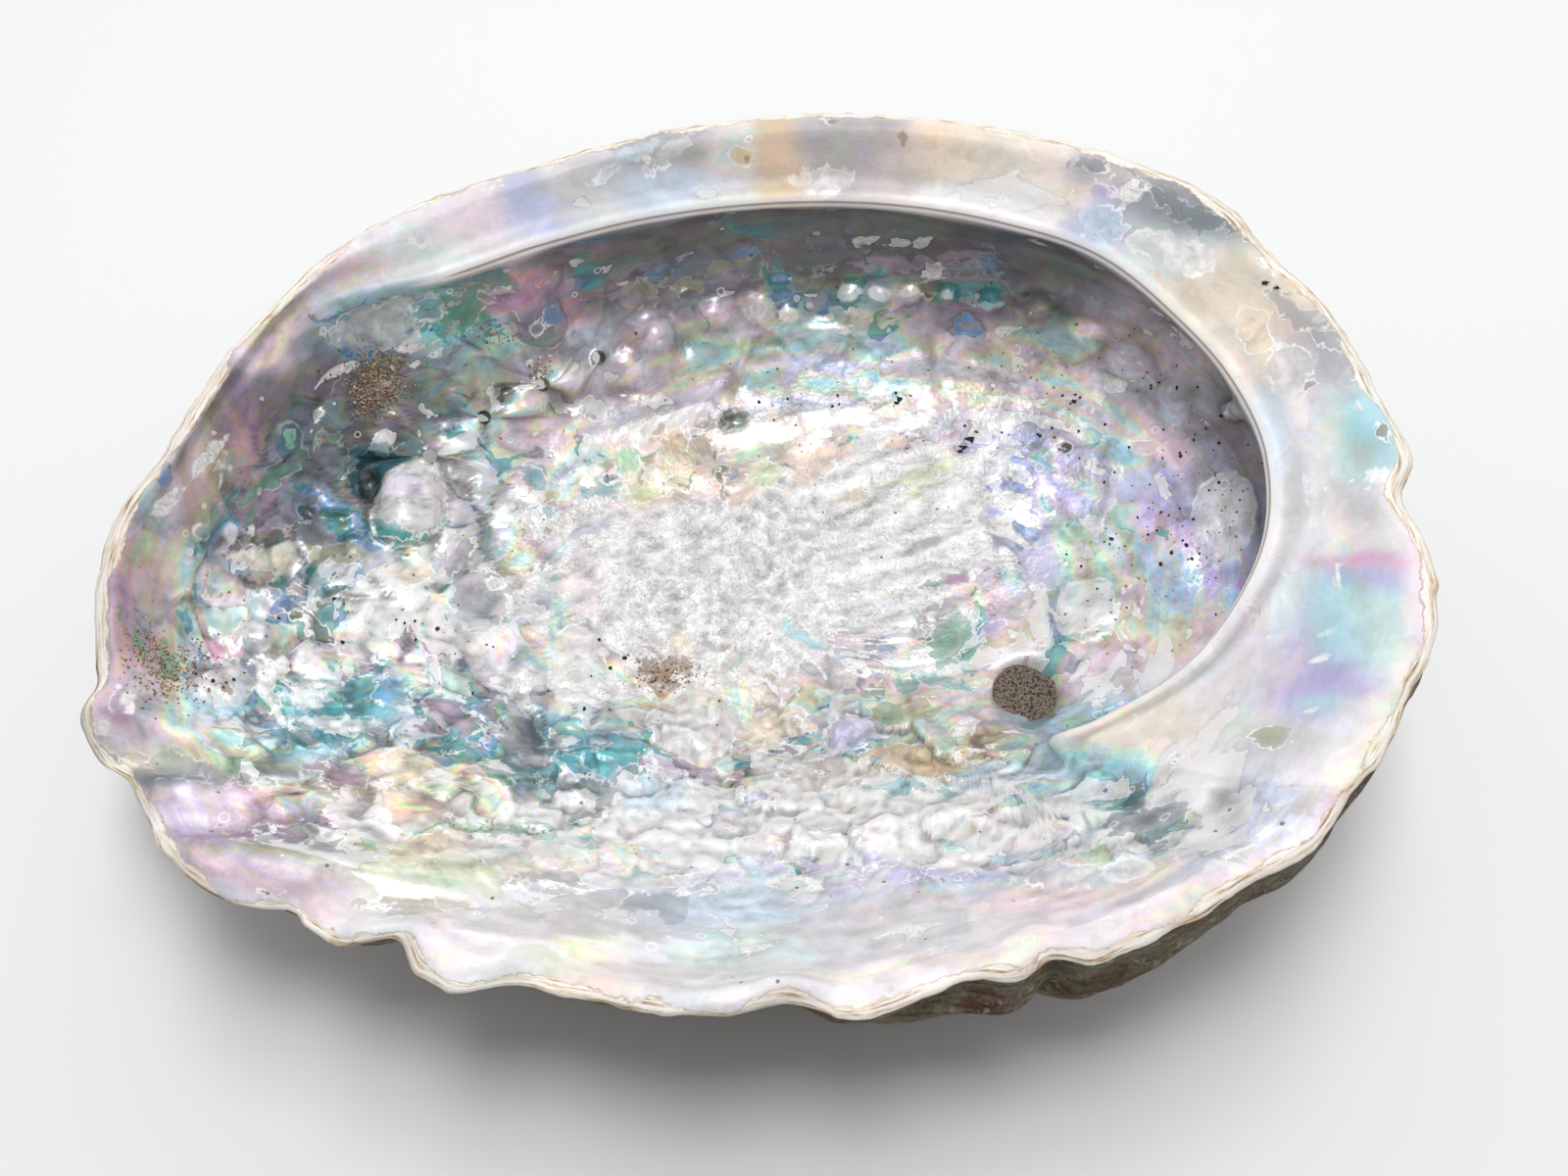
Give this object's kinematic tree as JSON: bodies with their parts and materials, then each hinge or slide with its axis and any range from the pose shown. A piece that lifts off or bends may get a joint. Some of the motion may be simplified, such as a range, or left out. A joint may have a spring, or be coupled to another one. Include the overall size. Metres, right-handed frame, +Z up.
{
  "type": "abalone shell",
  "caption": "Large abalone shell lying on its back, mouth up: pearly bowl, overhanging shelf inside the lip, scalloped edge and a row of breathing holes.",
  "frame": {"origin": "a point in the middle of the worn flat spot on the back, on which the shell rests", "axes": "+X along the shell's length to the spire end, +Y across to the flat inner shelf's side, +Z up out of the mouth"},
  "size_m": [0.1858, 0.1432, 0.0545],
  "materials": {
    "shell": "iridescent nacre inside, rough crust outside"
  },
  "bodies": {
    "root": {"shell": "shell"}
  },
  "joints": []
}
